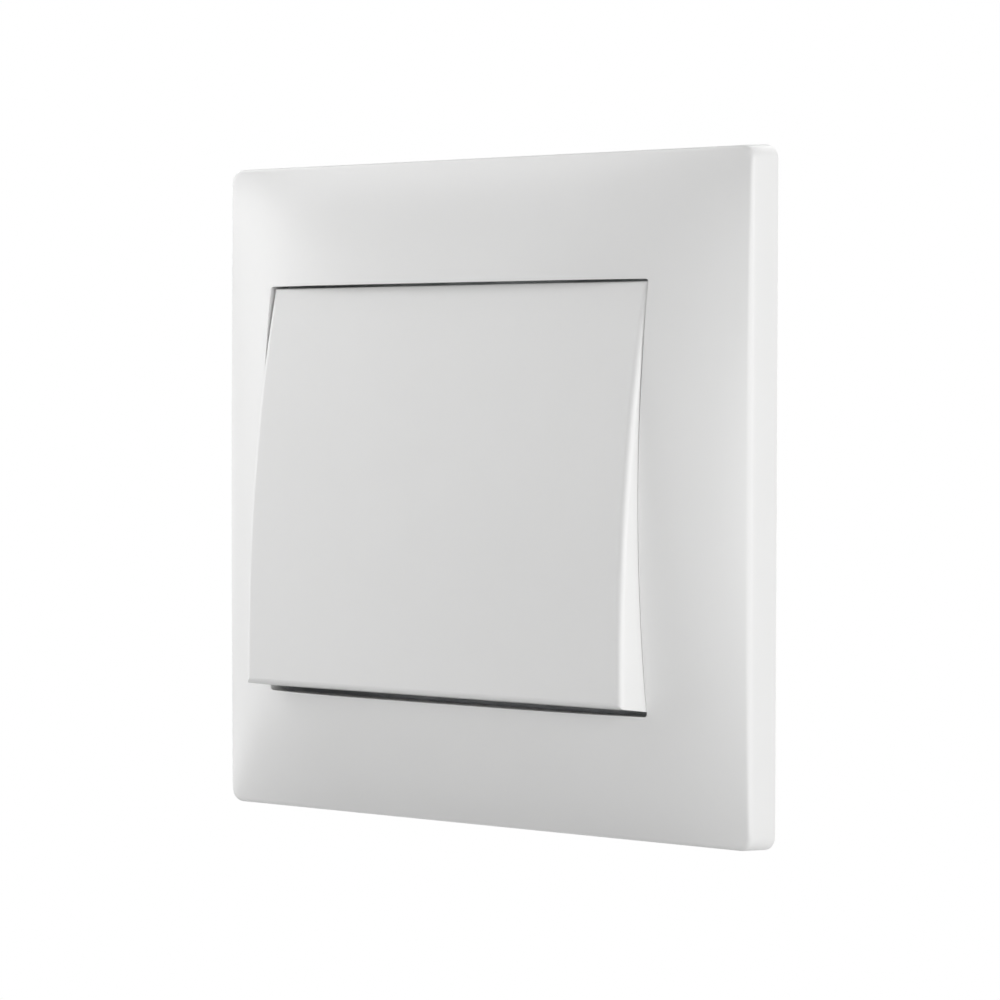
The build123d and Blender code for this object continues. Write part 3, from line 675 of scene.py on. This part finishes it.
closing_head = button(rivet_tree, given["Head Radius"], given["Head Height"], squareness=0.55)
far_head = place_node(
    rivet_tree,
    "GeometryNodeTransform",
    {"Geometry": closing_head, "Translation": down_the_grip(1.0), "Rotation": (pi, 0.0, 0.0)},
)
stem = place_node(
    rivet_tree,
    "GeometryNodeMeshCylinder",
    {"Vertices": 32, "Radius": given["Shank Radius"], "Depth": given["Grip"]},
)
stem = place_node(
    rivet_tree,
    "GeometryNodeTransform",
    {"Geometry": stem.outputs["Mesh"], "Translation": down_the_grip(0.5)},
)
rivet = rivet_tree.nodes.new("GeometryNodeJoinGeometry")
for part in (closing_head, far_head.outputs[0], stem.outputs[0]):
    rivet_tree.links.new(part, rivet.inputs[0])
rivets = place_node(
    rivet_tree,
    "GeometryNodeInstanceOnPoints",
    {
        "Points": given["Geometry"],
        "Instance": rivet.outputs[0],
        "Rotation": stand_on_axis(rivet_tree),
    },
)
end_tree(rivet_tree, rivets.outputs[0], given["Finish"])

rivet_head_radius, rivet_head_height = 0.0019, 0.0007
low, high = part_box("ring_rivets")
rivet_seats = [
    ((x, low.y + rivet_head_height, z), (0, -1, 0))
    for x in (low.x + rivet_head_radius, high.x - rivet_head_radius)
    for z in (low.z + rivet_head_radius, high.z - rivet_head_radius)
]
ring_rivets = grow(
    "domed_rivets",
    rivet_tree,
    axis_points("domed_rivets", rivet_seats),
    {
        "Head Radius": rivet_head_radius,
        "Head Height": rivet_head_height,
        "Shank Radius": 0.0012,
        "Grip": 0.0026,
        "Finish": zinc_steel,
    },
)
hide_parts("ring_rivets")
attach(ring_rivets, "base")

# Claws and claw screws: forked levers that dig into the wall box when their screws are tightened.
# The claws are bent from zinc-plated steel sheet, and each hangs on its long slotted screw.
finish_nodes(zinc_steel, "claw_left", "claw_right")
claw_head_height = 0.0019
claw_seats = []
for name in ("claw_screw_left", "claw_screw_right"):
    low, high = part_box(name)
    middle = (low + high) / 2
    claw_seats.append(((middle.x, low.y + claw_head_height, middle.z), (0, -1, 0)))
claw_screws = grow(
    "claw_screws",
    screw_tree,
    axis_points("claw_screws", claw_seats),
    {
        "Head Radius": 0.0027,
        "Head Height": claw_head_height,
        "Shank Radius": 0.0015,
        "Shank Length": 0.013,
        "Pitch": 0.0005,
        "Slot Width": slot_width,
        "Slot Depth": slot_depth,
        "Finish": zinc_steel,
    },
)
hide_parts("claw_screw_left", "claw_screw_right")
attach(claw_screws, "base")

# Cover frame: the crowned square plate that everyone sees, with an opening for the rocker.
# It is moulded in white thermoplastic with a satin gloss, with a collar behind the opening.
# Four legs on its back clip into slots of the support ring.
white_gloss = finish_material(
    "white_gloss",
    moulded_skin,
    (0.86, 0.86, 0.855),
    {
        "Cloud Scale": 60.0,
        "Grain Scale": 5200.0,
        "Shade Depth": 0.012,
        "Gloss Low": 0.30,
        "Gloss High": 0.38,
    },
    grain_depth=0.000004,
)

frame_half = 0.041
edge_depth = 0.0047
side_draft = tan(radians(3.6))
edge_rounding, edge_steps = 0.0005, 6
corner_rounding = 0.0017
opening_across, opening_upright = 0.02962, 0.0256
opening_corner, opening_bow = 0.0004, 0.00011
opening_rounding, opening_steps = 0.00005, 5
mouth_lean, mouth_depth = 0.00001, 0.0002
collar_wall, collar_lean, collar_back = 0.0014, 0.0002, 0.0065
shell_wall, shell_spread = 0.002, 0.00005
side_heights = (0.0002, 0.002, edge_depth - edge_rounding - 0.0003)
front_start, front_rings, hollow_rings = 0.012, 32, 14


def rounded_loop(half_across, half_upright, corner, side_steps=44, corner_steps=6):
    """Points round an oblong with round corners, anticlockwise as seen from the front."""
    corners = ((1, -1), (1, 1), (-1, 1), (-1, -1))
    points = []
    for quarter, (x, z) in enumerate(corners):
        centre = np.array((x * (half_across - corner), z * (half_upright - corner)))
        for step in range(corner_steps + 1):
            angle = pi / 2 * (quarter - 1 + step / corner_steps)
            points.append(centre + corner * np.array((cos(angle), sin(angle))))
        next_x, next_z = corners[(quarter + 1) % 4]
        next_centre = np.array((next_x * (half_across - corner), next_z * (half_upright - corner)))
        angle = pi / 2 * quarter
        start = points[-1]
        end = next_centre + corner * np.array((cos(angle), sin(angle)))
        for step in range(1, side_steps):
            points.append(start + (end - start) * step / side_steps)
    return np.array(points)


def square_loop(half):
    """Points round the plate, a given distance from its middle."""
    return rounded_loop(half, half, corner_rounding)


def opening_loop(growth):
    """Points round the opening, whose sides bow in to the middle as the rocker's sides do."""
    half_upright = opening_upright + growth
    points = rounded_loop(opening_across + growth, half_upright, opening_corner + max(growth, 0.0))
    bow = opening_bow * (1 - np.abs(points[:, 1]) / half_upright)
    points[:, 0] -= np.sign(points[:, 0]) * bow
    return points


# Rings of the moulding, from the outer rim over the front to the opening and back inside:
# each has a loop of points, a height and a share of the crown
rings = [(square_loop(frame_half + edge_depth * side_draft), 0.0, 0.0)]
for height in side_heights:
    rings.append((square_loop(frame_half + (edge_depth - height) * side_draft), height, 0.0))
for step in range(edge_steps + 1):
    angle = pi / 2 * step / edge_steps
    inset = edge_rounding * (1 - cos(angle))
    height = edge_depth - edge_rounding * (1 - sin(angle))
    rings.append((square_loop(frame_half - inset), height, 1.0))
front_edge, front_end = rings[-1][0], opening_loop(opening_rounding)
for share in np.linspace(front_start, 1.0, front_rings):
    rings.append((front_edge + (front_end - front_edge) * share, edge_depth, 1.0))
for step in range(1, opening_steps + 1):
    angle = pi / 2 * (1 - step / opening_steps)
    growth = opening_rounding * (1 - cos(angle))
    rings.append((opening_loop(growth), edge_depth - opening_rounding * (1 - sin(angle)), 1.0))
rings.append((opening_loop(mouth_lean), edge_depth - opening_rounding - mouth_depth, 1.0))
rings.append((opening_loop(collar_lean), collar_back, 0.0))
rings.append((opening_loop(collar_wall), collar_back, 0.0))
hollow_start = opening_loop(collar_wall)
hollow_end = square_loop(frame_half - shell_wall + shell_spread)
for share in np.linspace(0.0, 1.0, hollow_rings):
    loop = hollow_start + (hollow_end - hollow_start) * share
    rings.append((loop, edge_depth - shell_wall, 1.0))
rings.append((square_loop(frame_half + edge_depth * side_draft - shell_wall), 0.0, 0.0))

points, lifts, faces = [], [], []
for loop, height, lift in rings:
    points += [(x, -height, z) for x, z in loop]
    lifts += [lift] * len(loop)
count = len(rings[0][0])
for ring in range(len(rings)):
    here, after = ring * count, (ring + 1) % len(rings) * count
    for spot in range(count):
        beside = (spot + 1) % count
        faces.append((here + spot, here + beside, after + beside, after + spot))

# Each leg is three squares of points from its tip to its root, the first slimmer as a lead
leg_across, leg_upright = 0.018, 0.0292
leg_half_width, leg_half_thickness = 0.004, 0.0008
leg_tip, leg_lead, leg_root = 0.0003, 0.0004, 0.0085
leg_levels = ((leg_tip, leg_lead), (leg_tip + leg_lead, 0.0), (leg_root, 0.0))
for side in (-leg_across, leg_across):
    for end in (-leg_upright, leg_upright):
        base = len(points)
        for height, slimming in leg_levels:
            half_thickness = leg_half_thickness - slimming
            for x, z in ((-1, -1), (1, -1), (1, 1), (-1, 1)):
                points.append((side + x * leg_half_width, -height, end + z * half_thickness))
                lifts.append(0.0)
        faces.append((base, base + 3, base + 2, base + 1))
        for level in (base, base + 4):
            above = level + 4
            for corner in range(4):
                beside = (corner + 1) % 4
                faces.append((level + corner, level + beside, above + beside, above + corner))
        faces.append((base + 8, base + 9, base + 10, base + 11))

flat_frame = bpy.data.meshes.new("crowned_frame")
flat_frame.from_pydata(points, [], faces)
lift_of = flat_frame.attributes.new("lift", "FLOAT", "POINT")
lift_of.data.foreach_set("value", lifts)

# The crown's rule: the rise falls off as a fourth power across; upright it falls mostly as a
# square, with a curl of the eighth power at the edges
crown_tree, given = new_tree(
    "crown_lift",
    ("Half Side", "Rise", "Curl Across", "Power Across", "Curl Upright", "Power Upright"),
)
position = crown_tree.nodes.new("GeometryNodeInputPosition").outputs[0]
spot = place_node(crown_tree, "ShaderNodeSeparateXYZ", {0: position}).outputs


def crown_share(place, curl, power):
    """The share of the rise at a place: one less a square and less a curl of a higher power."""
    share = reckon(crown_tree, "DIVIDE", reckon(crown_tree, "ABSOLUTE", place), given["Half Side"])
    share = reckon(crown_tree, "MINIMUM", share, 1.0)
    curled = reckon(crown_tree, "MULTIPLY", reckon(crown_tree, "POWER", share, power), curl)
    square = reckon(crown_tree, "POWER", share, 2.0)
    rest = reckon(crown_tree, "MULTIPLY", square, reckon(crown_tree, "SUBTRACT", 1.0, curl))
    return reckon(crown_tree, "SUBTRACT", reckon(crown_tree, "SUBTRACT", 1.0, rest), curled)


lift = place_node(
    crown_tree, "GeometryNodeInputNamedAttribute", {"Name": "lift"}, data_type="FLOAT"
)
rise = reckon(
    crown_tree,
    "MULTIPLY",
    crown_share(spot["X"], given["Curl Across"], given["Power Across"]),
    crown_share(spot["Z"], given["Curl Upright"], given["Power Upright"]),
)
rise = reckon(crown_tree, "MULTIPLY", rise, reckon(crown_tree, "MULTIPLY", given["Rise"], -1.0))
rise = reckon(crown_tree, "MULTIPLY", rise, lift.outputs["Attribute"])
crowned = place_node(
    crown_tree,
    "GeometryNodeSetPosition",
    {"Geometry": given["Geometry"], "Offset": vector(crown_tree, Y=rise)},
)
end_tree(crown_tree, crowned.outputs[0], given["Finish"], crease=32.0)
crowned_frame = grow(
    "crowned_frame",
    crown_tree,
    flat_frame,
    {
        "Half Side": frame_half,
        "Rise": 0.0091,
        "Curl Across": 1.0,
        "Power Across": 4.0,
        "Curl Upright": 0.325,
        "Power Upright": 8.0,
        "Finish": white_gloss,
    },
)
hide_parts("cover_frame")
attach(crowned_frame, "base")

# Rocker: the wide button in the opening, pressed in at the top as it rests.
# It is moulded in the frame's white plastic with a slightly arched face, and snaps onto the cradle.
# The rounding along its top edge is tighter than the others, so the gap above it stays a fine line.

# The rounding as the solid has it: its axis in y and z, and the turns of the face and of the wall
cut_rounding, top_rounding = 0.00075, 0.0003
rounding_axis = np.array((-0.008661, 0.024556))
face_turn, wall_turn = radians(12.53), radians(81.97)
outward = np.array((-cos(face_turn), sin(face_turn)))
upward = np.array((sin(face_turn), cos(face_turn)))

weld_digits = 7
solid_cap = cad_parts["rocker"].data
cap_points = np.array([vertex.co for vertex in solid_cap.vertices])
_, first, place_of = np.unique(
    np.round(cap_points, weld_digits), axis=0, return_index=True, return_inverse=True
)
cap_points = cap_points[first]
cap_faces = [[int(place_of[vertex]) for vertex in face.vertices] for face in solid_cap.polygons]
cap_normals = np.array([corner.vector for corner in solid_cap.corner_normals])
cap_corners = np.array([place for face in cap_faces for place in face])

# The points of the top rounding lie at its radius from its axis, near the two ends of the cap
radius_play, turn_play, end_start, sideways_play = 0.00001, 0.01, 0.028, 0.02
from_axis = cap_points[:, 1:] - rounding_axis
turn = np.arctan2(from_axis @ upward, from_axis @ outward)
on_rounding = np.abs(np.linalg.norm(from_axis, axis=1) - cut_rounding) < radius_play
on_rounding &= (turn > -turn_play) & (turn < wall_turn + turn_play)
on_rounding &= np.abs(cap_points[:, 0]) > end_start

# Each of them keeps its depth under the face, and goes up to the tighter rounding or to the wall
depth = np.clip(cut_rounding * (1 - np.cos(turn)), 0.0, None)
tight_depth = np.minimum(depth, top_rounding)
tight_reach = np.sqrt(top_rounding**2 - (top_rounding - tight_depth) ** 2)
rise = np.where(
    depth < top_rounding * (1 - cos(wall_turn)),
    tight_reach - top_rounding * tan(wall_turn / 2),
    depth / tan(wall_turn),
)
rise -= cut_rounding * (np.sin(turn) - tan(wall_turn / 2))
cap_points[on_rounding, 1:] += rise[on_rounding, None] * upward
tight_turn = np.arccos(np.clip(1 - depth / top_rounding, cos(wall_turn), 1.0))
turned_corner = on_rounding[cap_corners] & (np.abs(cap_normals[:, 0]) < sideways_play)
corner_turn = tight_turn[cap_corners][turned_corner, None]
cap_normals[turned_corner, 1:] = np.cos(corner_turn) * outward + np.sin(corner_turn) * upward

cap_mesh = bpy.data.meshes.new("rocker_cap")
cap_mesh.from_pydata(cap_points.tolist(), [], cap_faces)
cap_mesh.shade_smooth()
cap_mesh.normals_split_custom_set(cap_normals.tolist())
cap_mesh.materials.append(white_gloss)
rocker_cap = bpy.data.objects.new("rocker_cap", cap_mesh)
bpy.context.scene.collection.objects.link(rocker_cap)
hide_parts("rocker")
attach(rocker_cap, "rocker")

# Studio: a plain pale floor well below the object, soft boxes on all sides and a white surround.
# The floor is lit as it is and fades to the white of the surround at its edge.
floor_half, floor_level = 0.6, -0.4
fade_start, fade_end, least_glow = 0.1, 0.5, 0.35
floor_corners = ((-1, -1), (1, -1), (1, 1), (-1, 1))
floor_mesh = bpy.data.meshes.new("floor")
floor_mesh.from_pydata(
    [(x * floor_half, y * floor_half, floor_level) for x, y in floor_corners], [], [(0, 1, 2, 3)]
)
floor = bpy.data.objects.new("floor", floor_mesh)
bpy.context.scene.collection.objects.link(floor)


def seen_straight(tree):
    """One for rays from the camera, a mirror or glass, and nothing for rays that carry light on."""
    sight = tree.nodes.new("ShaderNodeLightPath").outputs
    mirrored = reckon(tree, "ADD", sight["Is Glossy Ray"], sight["Is Transmission Ray"])
    return reckon(tree, "MINIMUM", reckon(tree, "ADD", sight["Is Camera Ray"], mirrored), 1.0)


pale_floor = bpy.data.materials.new("pale_floor")
pale_floor.use_nodes = True
tree = pale_floor.node_tree
painted = tree.nodes["Principled BSDF"]
painted.inputs["Base Color"].default_value = (0.66, 0.66, 0.66, 1.0)
painted.inputs["Roughness"].default_value = 0.8
glow = place_node(tree, "ShaderNodeEmission", {"Color": (1.0, 1.0, 1.0, 1.0), "Strength": 1.0})
place = tree.nodes.new("ShaderNodeTexCoord").outputs["Object"]
flat_place = place_node(
    tree, "ShaderNodeVectorMath", {0: place, 1: (1.0, 1.0, 0.0)}, operation="MULTIPLY"
)
reach = place_node(tree, "ShaderNodeVectorMath", {0: flat_place.outputs[0]}, operation="LENGTH")
fade = spread(tree, reach.outputs["Value"], fade_start, fade_end, least_glow, 1.0)
blend = place_node(
    tree,
    "ShaderNodeMixShader",
    {
        0: reckon(tree, "MULTIPLY", fade, seen_straight(tree)),
        1: painted.outputs[0],
        2: glow.outputs[0],
    },
)
tree.links.new(blend.outputs[0], tree.nodes["Material Output"].inputs["Surface"])
floor_mesh.materials.append(pale_floor)


def towards(bearing, climb):
    """The direction at a bearing from the front to the right, and at an angle above level."""
    return Vector((sin(bearing) * cos(climb), -cos(bearing) * cos(climb), sin(climb)))


# Soft boxes: name, bearing and climb in degrees, distance, size and power, each turned to the
# middle of the object
soft_boxes = (
    ("left_box", -60, 6, 0.4, 0.3, 0.55),
    ("far_left_box", -75, 5, 0.4, 0.3, 0.28),
    ("upper_left_box", -90, 45, 0.4, 0.3, 0.53),
    ("upper_front_box", -40, 40, 0.9, 0.6, 0.80),
    ("front_box", 10, 15, 0.9, 0.6, 0.84),
    ("camera_box", 35, 5, 0.9, 0.6, 0.44),
    ("front_right_box", 65, 5, 0.9, 0.6, 3.50),
    ("right_box", 105, 10, 0.9, 0.6, 3.05),
    ("back_box", 180, 25, 0.9, 0.6, 3.50),
)
for name, bearing, climb, distance, size, power in soft_boxes:
    lamp = bpy.data.lights.new(name, "AREA")
    lamp.shape = "SQUARE"
    lamp.size = size
    lamp.energy = power
    box = bpy.data.objects.new(name, lamp)
    box.location = towards(radians(bearing), radians(climb)) * distance
    box.rotation_euler = (-box.location).to_track_quat("-Z", "Y").to_euler()
    bpy.context.scene.collection.objects.link(box)

ambient = 0.08
surround = bpy.data.worlds.new("surround")
surround.use_nodes = True
tree = surround.node_tree
backdrop = tree.nodes["Background"]
backdrop.inputs["Color"].default_value = (1.0, 1.0, 1.0, 1.0)
strength = reckon(tree, "MULTIPLY_ADD", seen_straight(tree), 1.0 - ambient, ambient)
tree.links.new(strength, backdrop.inputs["Strength"])
bpy.context.scene.world = surround
bpy.context.scene.view_settings.view_transform = "Standard"

# Camera: a long lens a little right of the object and level with it, as the photograph was taken
camera_place = Vector((0.2744, -0.344, 0.0125))
yaw, pitch, roll = radians(38.58), radians(1.76), radians(0.137)
back = towards(yaw, pitch)
level_right = Vector((cos(yaw), sin(yaw), 0.0))
level_up = back.cross(level_right)
right = level_right * cos(roll) + level_up * sin(roll)
up = level_up * cos(roll) - level_right * sin(roll)
aim = Matrix((right, up, back)).transposed().to_4x4()
lens = bpy.data.cameras.new("camera")
lens.sensor_width = 36.0
lens.lens = 127.86
lens.clip_start = 0.01
camera = bpy.data.objects.new("camera", lens)
camera.matrix_world = Matrix.Translation(camera_place) @ aim
bpy.context.scene.collection.objects.link(camera)
bpy.context.scene.camera = camera
